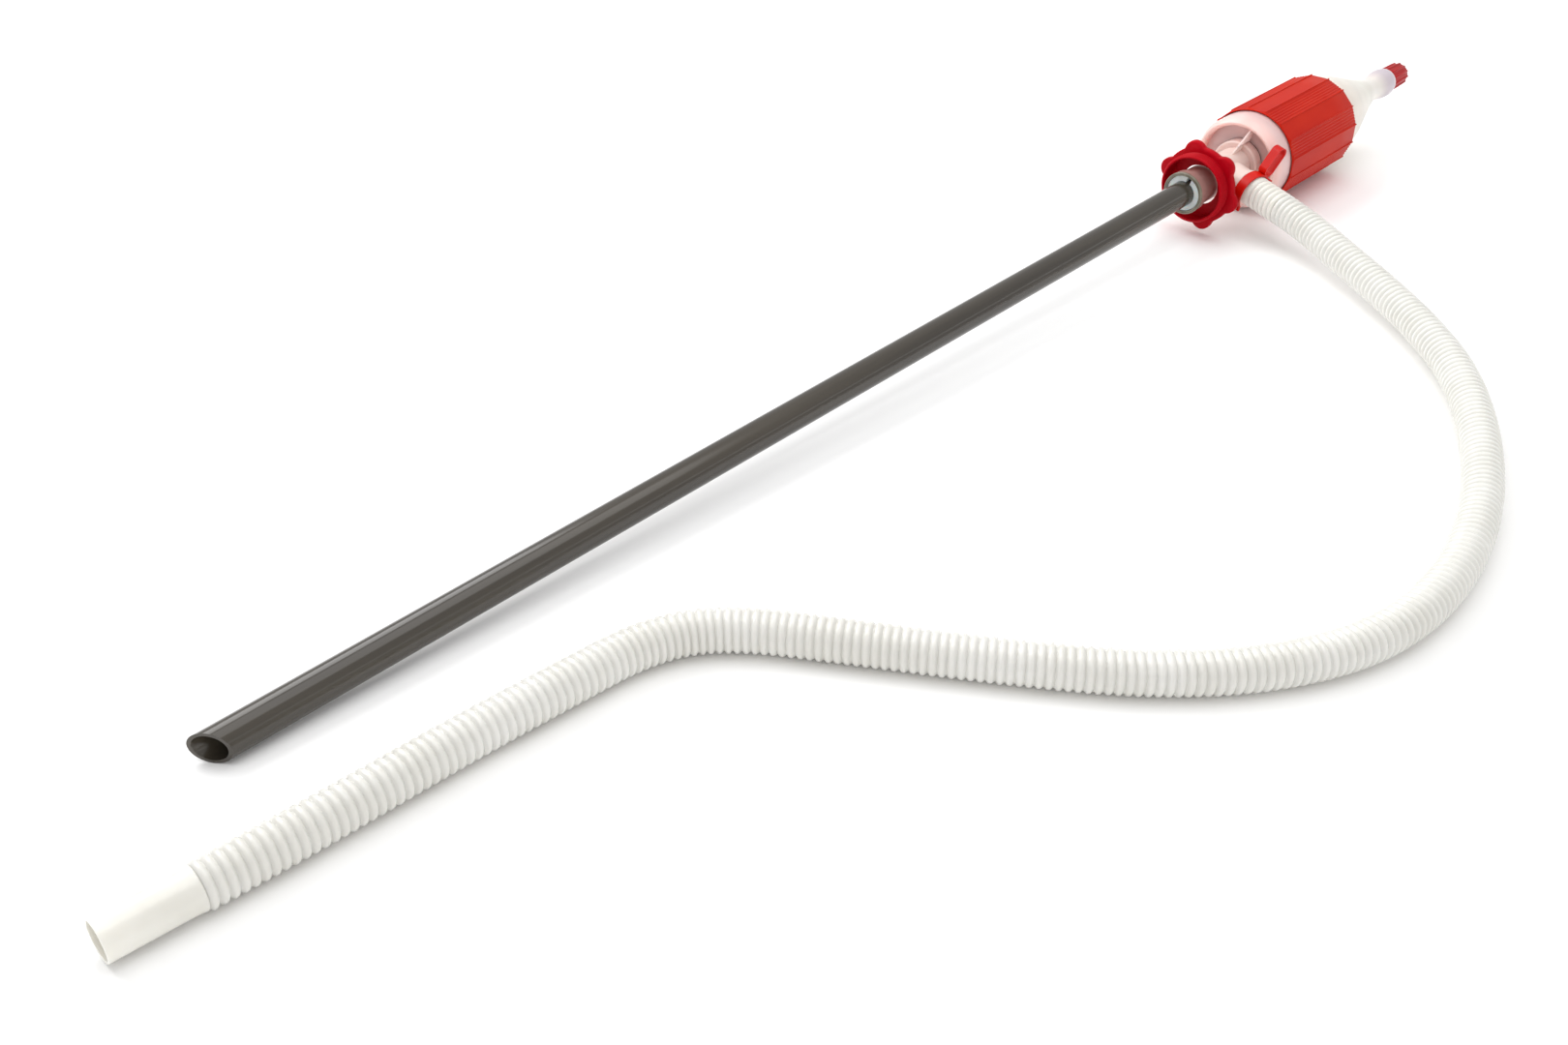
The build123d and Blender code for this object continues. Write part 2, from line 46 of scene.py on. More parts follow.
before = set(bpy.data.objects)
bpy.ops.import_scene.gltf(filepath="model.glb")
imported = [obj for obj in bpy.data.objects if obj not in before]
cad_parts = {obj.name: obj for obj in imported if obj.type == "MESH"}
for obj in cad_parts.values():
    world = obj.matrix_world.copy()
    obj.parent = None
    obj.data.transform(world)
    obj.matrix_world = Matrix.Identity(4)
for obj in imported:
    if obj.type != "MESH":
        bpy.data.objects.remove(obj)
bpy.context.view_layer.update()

MM = 0.001
TAU = 2 * math.pi

# The hose's route, from the end of its first cuff to the start of its last one.
HOSE_ROUTE = [
    (0.30806, -0.05926, 0.03344),
    (0.30140, -0.08413, 0.02982),
    (0.2825, -0.1195, 0.0266),
    (0.2490, -0.1770, 0.0234),
    (0.2130, -0.2310, 0.0208),
    (0.1650, -0.2840, 0.0190),
    (0.0920, -0.3320, 0.0175),
    (0.0120, -0.3680, 0.0150),
    (-0.0720, -0.3860, 0.0136),
    (-0.1520, -0.3800, 0.0136),
    (-0.2180, -0.3460, 0.0136),
    (-0.2700, -0.2960, 0.0136),
    (-0.3150, -0.2290, 0.0136),
    (-0.3560, -0.1610, 0.0136),
    (-0.3950, -0.0970, 0.0136),
    (-0.4340, -0.0720, 0.0136),
    (-0.4960, -0.0660, 0.0136),
    (-0.5600, -0.0605, 0.0136),
    (-0.6200, -0.0575, 0.0136),
    (-0.6720, -0.0545, 0.0136),
    (-0.7110, -0.0510, 0.0136),
]
HOSE_EXIT = HOSE_ROUTE[0]
RINGS_PER_RIB = 6

CAMERA_PLACE = (-0.9225, -0.6282, 0.6039)
CAMERA_HEADING = (0.7339, 0.6793, 0)
CAMERA_PITCH = 34.66


# ---- Colours and materials ----------------------------------------------------------
def linear(code):
    """Turns an sRGB hex colour into linear RGBA."""
    channels = np.array([int(code[i:i + 2], 16) for i in (1, 3, 5)]) / 255
    low, high = channels / 12.92, ((channels + 0.055) / 1.055) ** 2.4
    return (*np.where(channels <= 0.04045, low, high).tolist(), 1.0)


def add(tree, kind, settings=None, values=None, links=None):
    """Adds one node: its settings, its sockets' values and the sockets that feed it."""
    node = tree.nodes.new(kind)
    for name, value in (settings or {}).items():
        setattr(node, name, value)
    for socket, value in (values or {}).items():
        node.inputs[socket].default_value = value
    for socket, source in (links or {}).items():
        tree.links.new(source, node.inputs[socket])
    return node


def mottled(tree, scale, stretch, colours, spread=(0.35, 0.65), detail=3.0):
    """A noise of this many cells per metre on Object coordinates, ramped between colours."""
    place = add(tree, "ShaderNodeTexCoord")
    mapping = add(tree, "ShaderNodeMapping", values={"Scale": stretch},
                  links={"Vector": place.outputs["Object"]})
    noise = add(tree, "ShaderNodeTexNoise", values={"Scale": scale, "Detail": detail},
                links={"Vector": mapping.outputs[0]})
    ramp = add(tree, "ShaderNodeValToRGB", links={"Fac": noise.outputs["Fac"]})
    for stop, position, colour in zip(ramp.color_ramp.elements, spread, colours):
        stop.position = position
        stop.color = linear(colour)
    return noise.outputs["Fac"], ramp.outputs["Color"]


def plastic(name, shader_values, colour=None, relief=None, relief_depth=0.0):
    """A moulded plastic: one Principled shader with an optional colour and relief input."""
    material = bpy.data.materials.new(name)
    material.use_nodes = True
    tree = material.node_tree
    tree.nodes.clear()
    links = {}
    if colour is not None:
        links["Base Color"] = colour(tree)
    if relief is not None:
        bump = add(tree, "ShaderNodeBump", values={"Strength": 1.0, "Distance": relief_depth},
                   links={"Height": relief(tree)})
        links["Normal"] = bump.outputs["Normal"]
    shader = add(tree, "ShaderNodeBsdfPrincipled", values=shader_values, links=links)
    add(tree, "ShaderNodeOutputMaterial", links={"Surface": shader.outputs[0]})
    return material


def extruded_pvc():
    """Unplasticised PVC, extruded: dark grey-brown, glossy, with faint lengthwise die lines."""
    def colour(tree):
        return mottled(tree, 60, (0.02, 1, 1), ("#332E28", "#443E35"))[1]

    def relief(tree):
        return mottled(tree, 400, (0.004, 1, 1), ("#000000", "#FFFFFF"))[0]

    return plastic("extruded PVC", {"Roughness": 0.15, "IOR": 1.54}, colour, relief, 0.000015)


def moulded_nylon():
    """Nylon 6, moulded: milky white with a cool cast, satin."""
    def colour(tree):
        return mottled(tree, 90, (1, 1, 1), ("#C6CBCC", "#D8DBDA"))[1]

    return plastic("moulded nylon", {
        "Roughness": 0.38, "IOR": 1.53, "Subsurface Weight": 0.3, "Subsurface Scale": 0.002,
    }, colour)


def moulded_pvc():
    """Rigid PVC, moulded: khaki, satin, slightly scuffed."""
    def colour(tree):
        return mottled(tree, 150, (1, 1, 1), ("#6A6456", "#857E6D"))[1]

    return plastic("moulded PVC", {"Roughness": 0.4, "IOR": 1.54}, colour)


def nitrile_rubber():
    """Nitrile rubber, moulded: near black and dull."""
    def colour(tree):
        return mottled(tree, 200, (1, 1, 1), ("#161616", "#242424"))[1]

    return plastic("nitrile rubber", {"Roughness": 0.7, "IOR": 1.52}, colour)


def polypropylene(name, dark, light, roughness, gloss=0.35):
    """Polypropylene, moulded: saturated, glossy, with the faint flow mottle of the mould."""
    def colour(tree):
        return mottled(tree, 35, (0.4, 1, 1), (dark, light))[1]

    def relief(tree):
        return mottled(tree, 700, (1, 1, 1), ("#000000", "#FFFFFF"))[0]

    return plastic(name, {
        "Roughness": roughness, "IOR": 1.49, "Specular IOR Level": gloss,
        "Subsurface Weight": 0.1, "Subsurface Scale": 0.002,
        "Subsurface Radius": (1.0, 0.2, 0.1),
    }, colour, relief, 0.00002)


def natural_polyethylene(name, painted_tints, transmission, scatter=0.6, depth=0.004):
    """High-density polyethylene in its natural colour: waxy, milky and translucent.

    Its tint changes along X, and that tint is painted light: the red glow and the shade that the
    red parts nearby throw on it, and the darker colour of parts seen through its wall. The tints
    are (X in metres, colour) pairs."""
    # The colour ramp along X paints red glow and shade onto the material's own milky white.
    start, end = painted_tints[0][0], painted_tints[-1][0]

    def colour(tree):
        place = add(tree, "ShaderNodeTexCoord")
        split = add(tree, "ShaderNodeSeparateXYZ", links={0: place.outputs["Object"]})
        along = add(tree, "ShaderNodeMapRange", values={"From Min": start, "From Max": end},
                    links={"Value": split.outputs["X"]})
        ramp = add(tree, "ShaderNodeValToRGB", links={"Fac": along.outputs[0]})
        stops = ramp.color_ramp.elements
        stops[0].color, stops[1].color = linear(painted_tints[0][1]), linear(painted_tints[-1][1])
        for place_x, tint in painted_tints[1:-1]:
            stops.new((place_x - start) / (end - start)).color = linear(tint)
        cloud = mottled(tree, 40, (1, 1, 1), ("#F4F4F4", "#FFFFFF"), detail=1.0)[1]
        mix = add(tree, "ShaderNodeMix", {"data_type": "RGBA", "blend_type": "MULTIPLY"},
                  {0: 1.0}, {6: ramp.outputs["Color"], 7: cloud})
        return mix.outputs[2]

    return plastic(name, {
        "Roughness": 0.34, "IOR": 1.51, "Transmission Weight": transmission,
        "Subsurface Weight": scatter, "Subsurface Scale": depth,
        "Subsurface Radius": (1.0, 0.9, 0.85),
    }, colour)


def milky_ldpe():
    """Natural LDPE, blown and corrugated: milky, half clear, with a satin skin."""
    def colour(tree):
        return mottled(tree, 25, (1, 1, 1), ("#E4E1D8", "#EEEBE3"))[1]

    return plastic("natural LDPE", {
        "Roughness": 0.2, "IOR": 1.51, "Specular IOR Level": 0.7, "Subsurface Weight": 0.6,
        "Subsurface Scale": 0.003, "Subsurface Radius": (1.0, 0.95, 0.9),
    }, colour)


# ---- Surfaces -----------------------------------------------------------------------
def surface(name, points, material, crease=35.0):
    """Makes a mesh from a grid of points that closes on itself both ways.

    Row i and row i+1 are joined by four-sided faces, and so are the columns; the last row
    joins the first. Rows that shrink to one point are merged into a pole."""
    rows, columns = points.shape[:2]
    index = np.arange(rows * columns).reshape(rows, columns)
    below, beside = np.roll(index, -1, 0), np.roll(index, -1, 1)
    corner = np.roll(below, -1, 1)
    faces = np.stack([index, beside, corner, below], -1).reshape(-1, 4)
    mesh = bpy.data.meshes.new(name)
    mesh.from_pydata(points.reshape(-1, 3), [], faces)
    work = bmesh.new()
    work.from_mesh(mesh)
    bmesh.ops.remove_doubles(work, verts=work.verts, dist=1e-7)
    bmesh.ops.recalc_face_normals(work, faces=work.faces)
    work.to_mesh(mesh)
    work.free()
    mesh.polygons.foreach_set("use_smooth", np.ones(len(mesh.polygons), bool))
    mesh.set_sharp_from_angle(angle=math.radians(crease))
    mesh.materials.append(material)
    piece = bpy.data.objects.new(name, mesh)
    bpy.context.scene.collection.objects.link(piece)
    return piece


def round_axis(along, radius, angle, centre):
    """Points at a distance along X, a radius and an angle from +Y towards +Z."""
    y = centre[0] + radius * np.cos(angle)
    z = centre[1] + radius * np.sin(angle)
    return np.stack([np.broadcast_to(along, y.shape), y, z], -1)


def lathe(name, profile, centre, material, segments=128, crease=35.0):
    """Turns a closed profile of (x, radius) about an axis along X."""
    profile = np.array(profile, float)
    angle = np.linspace(0, TAU, segments, endpoint=False)[None, :]
    along, radius = profile[:, :1], profile[:, 1:]
    points = round_axis(along, radius + 0 * angle, angle + 0 * along, centre)
    return surface(name, points, material, crease)


def arc(centre, radius, start, end, steps=6):
    """Points on a circle in a profile, from one angle in degrees to another."""
    angle = np.radians(np.linspace(start, end, steps))
    return np.stack([centre[0] + radius * np.cos(angle), centre[1] + radius * np.sin(angle)], -1)


def axis_of(node):
    """The Y and Z of the middle of a CAD node's box."""
    low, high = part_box(node)
    return (low.y + high.y) / 2, (low.z + high.z) / 2


def tube_along(name, line, reach, radius, material, segments=28):
    """Carries a closed profile along a level path.

    Each profile point has a distance along the path and a radius. The ring there is the
    path's point plus radius times cosine of the angle sideways and sine of it upwards."""
    steps = np.linalg.norm(np.diff(line, axis=0), axis=1)
    travel = np.concatenate([[0], np.cumsum(steps)])
    centre = np.stack([np.interp(reach, travel, line[:, k]) for k in range(3)], -1)
    ahead = np.stack([np.interp(reach + 0.002, travel, line[:, k]) for k in range(3)], -1)
    behind = np.stack([np.interp(reach - 0.002, travel, line[:, k]) for k in range(3)], -1)
    forward = ahead - behind
    forward /= np.linalg.norm(forward, axis=1, keepdims=True)
    side = np.cross(forward, (0, 0, 1))
    side /= np.linalg.norm(side, axis=1, keepdims=True)
    upward = np.cross(side, forward)
    angle = np.linspace(0, TAU, segments, endpoint=False)
    points = (
        centre[:, None, :]
        + radius[:, None, None] * np.cos(angle)[None, :, None] * side[:, None, :]
        + radius[:, None, None] * np.sin(angle)[None, :, None] * upward[:, None, :]
    )
    return surface(name, points, material, 60.0)


def hose_line():
    """The smooth line through the hose: a NURBS spline with the route as control points."""
    curve = bpy.data.curves.new("hose line", "CURVE")
    curve.dimensions = "3D"
    curve.resolution_u = 24
    spline = curve.splines.new("NURBS")
    spline.points.add(len(HOSE_ROUTE) - 1)
    spline.points.foreach_set("co", [value for point in HOSE_ROUTE for value in (*point, 1.0)])
    spline.order_u = 3
    spline.use_endpoint_u = True
    carrier = bpy.data.objects.new("hose line", curve)
    bpy.context.scene.collection.objects.link(carrier)
    mesh = bpy.data.meshes.new_from_object(carrier)
    flat = np.empty(len(mesh.vertices) * 3)
    mesh.vertices.foreach_get("co", flat)
    bpy.data.objects.remove(carrier)
    bpy.data.meshes.remove(mesh)
    bpy.data.curves.remove(curve)
    return flat.reshape(-1, 3)


def line_length(line):
    """The length of a line: the sum of the distances between its points."""
    return float(np.linalg.norm(np.diff(line, axis=0), axis=1).sum())


# ---- Settings -----------------------------------------------------------------------
class PumpSettings(bpy.types.PropertyGroup):
    """Sizes and colours of the pump's barrel, nut and vent."""

    sleeve_panels: IntProperty(
        name="Sleeve panels", description="Flat panels round the grip sleeve", default=16, min=8,
    )
    fine_ribs: IntProperty(
        name="Fine ribs", description="Fine ribs on every second panel", default=6, min=1,
    )
    fine_rib_depth: FloatProperty(
        name="Fine rib depth", description="Height of the fine ribs", default=0.5 * MM,
        unit="LENGTH",
    )
    sleeve_red: FloatVectorProperty(
        name="Sleeve red", description="Colour of the grip sleeve", subtype="COLOR", size=3,
        default=linear("#C8321E")[:3],
    )
    nut_lobes: IntProperty(name="Nut lobes", description="Lobes round the bung nut", default=6)
    thread_pitch: FloatProperty(
        name="Thread pitch", description="Pitch of the bung nut's pipe thread",
        default=2.309 * MM, unit="LENGTH",
    )
    cap_ribs: IntProperty(name="Cap ribs", description="Ribs round the vent cap", default=12)


class HoseSettings(bpy.types.PropertyGroup):
    """Sizes of the corrugated hose."""

    hose_radius: FloatProperty(
        name="Hose radius", description="Radius over the corrugations", default=13.5 * MM,
        unit="LENGTH",
    )
    corrugation: FloatProperty(
        name="Corrugation depth", description="How far the grooves go in", default=1.5 * MM,
        unit="LENGTH",
    )
    pitch: FloatProperty(
        name="Pitch", description="Distance between two corrugations", default=5.4 * MM,
        unit="LENGTH",
    )
    wall: FloatProperty(
        name="Wall", description="Thickness of the hose's wall", default=0.9 * MM, unit="LENGTH",
    )


class StageSettings(bpy.types.PropertyGroup):
    """Camera and light."""

    lens: FloatProperty(
        name="Lens", description="Focal length on a 36 mm sensor", default=37.78,
        subtype="DISTANCE_CAMERA",
    )
    daylight: FloatProperty(
        name="Daylight", description="Strength of the white surroundings", default=0.75,
    )


# ---- Stage --------------------------------------------------------------------------
def aim(thing, target):
    """Turns a lamp or camera so that its -Z looks at a point."""
    thing.rotation_euler = (Vector(target) - thing.location).to_track_quat("-Z", "Y").to_euler()


def softbox(name, place, target, size, power, colour="#FFFFFF"):
    """A rectangular lamp of this width and height that looks at a point."""
    lamp = bpy.data.lights.new(name, "AREA")
    lamp.shape = "RECTANGLE"
    lamp.size, lamp.size_y = size
    lamp.energy = power
    lamp.color = linear(colour)[:3]
    holder = bpy.data.objects.new(name, lamp)
    bpy.context.scene.collection.objects.link(holder)
    holder.location = place
    aim(holder, target)
    return holder


class PUMP_OT_stage(bpy.types.Operator):
    """Adds the camera, a white floor and soft studio light"""

    bl_idname = "pump.stage"
    bl_label = "Stage"

    def execute(self, context):
        settings = context.scene.pump_stage
        scene = context.scene
        lens = bpy.data.cameras.new("camera")
        lens.lens = settings.lens
        lens.sensor_width = 36
        camera = bpy.data.objects.new("camera", lens)
        scene.collection.objects.link(camera)
        camera.location = CAMERA_PLACE
        pitch = math.radians(CAMERA_PITCH)
        heading = Vector(CAMERA_HEADING).normalized() * math.cos(pitch)
        aim(camera, camera.location + heading - Vector((0, 0, math.sin(pitch))))
        scene.camera = camera
        scene.view_settings.view_transform = "Standard"

        world = bpy.data.worlds.new("white room")
        world.use_nodes = True
        surround = world.node_tree.nodes["Background"]
        surround.inputs["Color"].default_value = linear("#FFFFFF")
        surround.inputs["Strength"].default_value = settings.daylight
        scene.world = world

        floor = lathe("floor", [(0, 0), (0, 6), (-0.02, 6), (-0.02, 0)], (0, 0), self.paper(), 64)
        mesh = floor.data
        flat = np.empty(len(mesh.vertices) * 3)
        mesh.vertices.foreach_get("co", flat)
        spun = flat.reshape(-1, 3)[:, [1, 2, 0]]
        mesh.vertices.foreach_set("co", spun.ravel())
        mesh.update()

        softbox("window softbox", (-0.2, 1.9, 1.9), (0, -0.1, 0), (2.4, 1.6), 42)
        softbox("overhead softbox", (0.0, -0.1, 2.6), (0, -0.1, 0), (2.6, 2.2), 26)
        softbox("strip light", (1.6, -3.0, 1.1), (0, 0, 0), (4.5, 0.1), 4)
        return {"FINISHED"}

    def paper(self):
        """Seamless white paper, matt."""
        def colour(tree):
            return mottled(tree, 3, (1, 1, 1), ("#FBFBFB", "#FEFEFE"))[1]

        return plastic("white paper", {"Roughness": 0.9, "Specular IOR Level": 0.1}, colour)


# ---- Pieces -------------------------------------------------------------------------
class PUMP_OT_hose(bpy.types.Operator):
    """Builds the corrugated hose and the smooth cuffs at its ends"""

    bl_idname = "pump.hose"
    bl_label = "Corrugated Hose"

    def execute(self, context):
        settings = context.scene.pump_hose
        material = milky_ldpe()
        line = hose_line()
        length = line_length(line)
        hose = self.corrugated(settings, line, length, material)
        first = self.start_cuff(settings, material)
        last = self.end_cuff(line, material)
        for piece, node in ((hose, "hose"), (first, "hose_start_cuff"), (last, "hose_end_cuff")):
            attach(piece, "pump")
            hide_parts(node)
        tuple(HOSE_EXIT)
        return {"FINISHED"}

    def corrugated(self, settings, line, length, material):
        """Carries the corrugations along the line, a whole number of them, and comes back
        inside them at the wall's thickness."""
        plain_ends = 4 * MM
        count = round((length - plain_ends) / settings.pitch)
        phase = np.arange(count * RINGS_PER_RIB + 1) / RINGS_PER_RIB
        reach = phase / count * length
        radius = self.rib_radius(settings, phase)
        return tube_along(
            "corrugated_hose", line, np.concatenate([reach, reach[::-1]]),
            np.concatenate([radius, radius[::-1] - settings.wall]), material,
        )

    def rib_radius(self, settings, phase):
        """The radius at a phase counted in corrugations: the crest's less depth times groove.

        The groove is 1 less a raised cosine of the phase, which is widened and cut off at 1,
        so that the crests are flat, and taken to the power 0.8, so that its sides are steep."""
        wave = 0.5 - 0.5 * np.cos(TAU * phase)
        groove = 1 - np.clip(wave * 1.35, 0, 1) ** 0.8
        return settings.hose_radius - settings.corrugation * groove

    def start_cuff(self, settings, material):
        """A sleeve over the spigot: smooth under the clip, then ribbed like the hose.

        The profile is a quarter circle at the lip, the plain stretch, and then the radius of
        the hose's corrugations."""
        exit_point = Vector(HOSE_EXIT)
        outward = (exit_point - Vector(HOSE_ROUTE[1])).normalized()
        span = 41 * MM
        line = np.array([exit_point + outward * span, exit_point])
        outer = settings.hose_radius
        ribs_start = 15 * MM
        lip, bore = 1.1 * MM, 11.4 * MM
        count = round((span - ribs_start) / settings.pitch)
        phase = np.arange(count * RINGS_PER_RIB + 1) / RINGS_PER_RIB
        ribbed = np.stack([
            ribs_start + phase / count * (span - ribs_start), self.rib_radius(settings, phase)
        ], -1)
        profile = np.concatenate([
            arc((lip, outer - lip), lip, 180, 90),
            [(ribs_start - 2 * MM, outer)], ribbed, [(span, bore), (0, bore)],
        ])
        return tube_along(
            "hose_start_cuff_skin", line, profile[:, 0], profile[:, 1], material, 64,
        )

    def end_cuff(self, line, material):
        """A smooth cuff that steps in from the last corrugation and opens at its end."""
        start = Vector(line[-1])
        forward = (Vector(HOSE_ROUTE[-1]) - Vector(HOSE_ROUTE[-2])).normalized()
        span = 50 * MM
        run = np.array([start, start + forward * span])
        profile = np.concatenate([
            [(0, 12.2 * MM), (1.0 * MM, 12.6 * MM), (3 * MM, 12.2 * MM), (8 * MM, 12 * MM)],
            arc((span - 0.5 * MM, 11.5 * MM), 0.5 * MM, 90, 0),
            arc((span - 0.5 * MM, 11.0 * MM), 0.5 * MM, 0, -90),
            [(8 * MM, 10.5 * MM), (0, 10.7 * MM)],
        ])
        return tube_along("hose_end_cuff_skin", run, profile[:, 0], profile[:, 1], material, 64)


class PUMP_OT_grip_sleeve(bpy.types.Operator):
    """Builds the grip sleeve with its flat panels, corner ridges and fine ribs"""

    bl_idname = "pump.grip_sleeve"
    bl_label = "Grip Sleeve"

    def execute(self, context):
        settings = context.scene.pump_parts
        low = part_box("grip_sleeve")[0]
        centre = axis_of("grip_sleeve")
        angle, outer, ridge = self.section(settings)
        start, end = low.x, low.x + 116 * MM
        rear = end + 0.5 * MM * ridge
        edge = 42.0 * MM
        bore, lip = 41.3 * MM, 37.3 * MM
        rows = [
            (start + 0.6 * MM + 0 * angle, bore + 0 * angle),
            (start + 0 * angle, np.minimum(outer, edge) - 0.2 * MM),
            (start + 0.5 * MM + 0 * angle, np.minimum(outer, edge + 0.4 * MM)),
            (start + 1.4 * MM + 0 * angle, np.minimum(outer, edge + 1.0 * MM)),
            (start + 2.6 * MM + 0 * angle, outer),
        ]
        rows += [(start + 2.6 * MM + share * (rear - start - 3.6 * MM), outer)
                 for share in (0.25, 0.5, 0.75, 1.0)]
        rows += [
            (rear - 0.3 * MM, np.minimum(outer - 0.3 * MM, 42.6 * MM)),
            (rear, np.minimum(outer - 0.9 * MM, 42.0 * MM)),
            (rear - 0.1 * MM, np.minimum(outer - 1.8 * MM, 41.0 * MM)),
            (end + 0 * angle, 41.0 * MM + 0 * angle),
            (end + 0 * angle, lip + 0 * angle),
            (end - 4 * MM + 0 * angle, lip + 0 * angle),
            (end - 4 * MM + 0 * angle, bore + 0 * angle),
        ]
        points = np.stack([round_axis(along, radius, angle, centre) for along, radius in rows])
        sleeve = surface("ribbed_grip_sleeve", points, glossy_red(), 30.0)
        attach(sleeve, "plunger")
        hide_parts("grip_sleeve")
        return {"FINISHED"}

    def section(self, settings):
        """The outline round the sleeve.

        A flat panel's radius is the distance to its middle over the cosine of the angle from
        it. A ridge adds a raised step at each corner, and every second panel adds a triangle
        wave of fine ribs. Angles crowd round every edge, so that each stays crisp."""
        panels = settings.sleeve_panels
        half = math.pi / panels
        flat = 43.2 * MM * math.cos(half)
        across = flat * math.tan(half)
        ridge = 0.65 * MM
        pitch = 2 * (across - ridge) / settings.fine_ribs
        nick = 0.12 * MM
        smooth_steps = np.linspace(-across + ridge, across - ridge, 9)
        rib_steps = -across + ridge + pitch * np.arange(settings.fine_ribs * 4) / 4
        sides, heights, is_ridge, centres = [], [], [], []
        for panel in range(panels):
            ribbed = panel % 2 == 1
            if ribbed:
                steps = rib_steps
                height = settings.fine_rib_depth * np.abs(
                    2 * ((steps + across - ridge) / pitch % 1) - 1
                ) - settings.fine_rib_depth / 2
                height[0] = 0
            else:
                steps = smooth_steps
                height = 0 * steps
            crest = 0.7 * MM
            sides.append(np.concatenate([
                [-across, -across + ridge * 0.75, -across + ridge], steps + nick,
                [across - ridge, across - ridge * 0.75],
            ]))
            heights.append(np.concatenate([[crest, crest * 0.85, 0], height, [0, crest * 0.85]]))
            is_ridge.append(np.concatenate([[1, 1, 0], 0 * steps, [0, 1]]))
            centres.append(np.full(len(steps) + 5, -math.pi / 2 + 2 * half * panel))
        side = np.concatenate(sides)
        height = np.concatenate(heights)
        angle = np.concatenate(centres) + np.arctan2(side, flat)
        radius = np.hypot(side, flat) + height
        order = np.argsort(angle)
        return angle[order], radius[order], np.concatenate(is_ridge)[order]


def glossy_red():
    """The sleeve's polypropylene: orange-red and glossy."""
    return polypropylene("polypropylene, orange red", "#B81803", "#C22205", 0.4, 0.1)


class PUMP_OT_bottle(bpy.types.Operator):
    """Builds the plunger bottle with its shoulder, waist and bulb"""

    bl_idname = "pump.bottle"
    bl_label = "Plunger Bottle"

    def execute(self, context):
        low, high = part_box("plunger_bottle")
        centre = axis_of("plunger_bottle")
        wall = 1.6 * MM
        outer = self.outline(0.0)
        inner = self.outline(wall)[::-1]
        spout_start, spout_step = 0.6306, 0.6475
        profile = np.concatenate([
            [(low.x, 33.8 * MM), (low.x, 35.4 * MM), (low.x + 17.8 * MM, 35.4 * MM),
             (low.x + 18 * MM, 37.2 * MM)],
            outer,
            [(spout_start, 8.0 * MM), (spout_step, 8.0 * MM), (high.x, 7.7 * MM),
             (high.x, 5.5 * MM), (spout_step, 5.3 * MM), (0.630, 5.3 * MM)],
            inner,
            [(low.x + 21 * MM, 35.6 * MM), (low.x + 19 * MM, 33.8 * MM)],
        ])
        # The bottle's tint is painted along X: pinkish next to the red sleeve for its glow, and a
        # darker lilac-grey band at X = 0.612 to 0.622 for the grey vent plug and the shaded hollow
        # seen through the bulb's wall.
        material = natural_polyethylene(
            "natural HDPE, bottle",
            ((0.47, "#FBE8DC"), (0.56, "#FFF6E8"), (0.60, "#FBF0E8"), (0.612, "#DCD0D6"),
             (0.622, "#D4C8D2"), (0.63, "#EADFE0")), 0.1
        )
        bottle = lathe("plunger_bottle_skin", profile, centre, material, 144)
        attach(bottle, "plunger")
        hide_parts("plunger_bottle")
        return {"FINISHED"}

    def outline(self, inset):
        """Radius against X by smooth steps between the shoulder, the waist and the bulb."""
        along = np.linspace(0.490, 0.628, 70)
        knots = np.array([490, 500, 515, 538, 561, 583, 592, 597, 603, 610, 617, 624, 628]) * MM
        radii = np.array([
            37.2, 36.8, 34, 26.6, 18.9, 12.9, 10.9, 10.5, 11.2, 12.8, 13.7, 13.6, 12.6
        ])
        smooth = np.interp(along, knots, radii * MM)
        for _ in range(5):
            smooth[1:-1] = (smooth[:-2] + 2 * smooth[1:-1] + smooth[2:]) / 4
        return np.stack([along, smooth - inset], -1)


class PUMP_OT_vent_cap(bpy.types.Operator):
    """Builds the vent cap with ribs along it

    A rib's height is a raised cosine of the angle, cut off above and below, so that the ribs
    are narrow and flat-topped. Each row takes its own share of that height"""

    bl_idname = "pump.vent_cap"
    bl_label = "Vent Cap"

    def execute(self, context):
        settings = context.scene.pump_parts
        low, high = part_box("vent_cap")
        centre = axis_of("vent_cap")
        angle = np.linspace(0, TAU, settings.cap_ribs * 16, endpoint=False)
        wave = 0.5 + 0.5 * np.cos(settings.cap_ribs * angle)
        rib = 1.3 * MM * np.clip(wave * 3.2 - 2.0, 0, 1)
        body, bore = 10.7 * MM, 8.4 * MM
        recess_end, step, recess_radius = 0.6545, 0.6497, 2.1 * MM
        rows = [
            (low.x, bore, 0), (low.x, body - 0.3 * MM, 0.3), (low.x + 0.4 * MM, body, 0.9),
            (low.x + 1.0 * MM, body, 1), (low.x + 10 * MM, body - 0.2 * MM, 1),
            (low.x + 20 * MM, body - 0.4 * MM, 1), (high.x - 3.0 * MM, body - 0.6 * MM, 0.9),
            (high.x - 1.4 * MM, body - 1.0 * MM, 0.5), (high.x - 0.4 * MM, body - 2.0 * MM, 0.1),
            (high.x, body - 3.2 * MM, 0), (high.x, 4 * MM, 0), (high.x, 0, 0),
            (recess_end, 0, 0), (recess_end, recess_radius, 0), (step, recess_radius, 0),
            (step, bore, 0),
        ]
        points = np.stack([
            round_axis(along, radius + share * rib, angle, centre) for along, radius, share in rows
        ])
        material = polypropylene("polypropylene, dark red", "#A00A10", "#B01216", 0.38, 0.2)
        cap = surface("ribbed_vent_cap", points, material, 40.0)
        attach(cap, "cap")
        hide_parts("vent_cap")
        return {"FINISHED"}


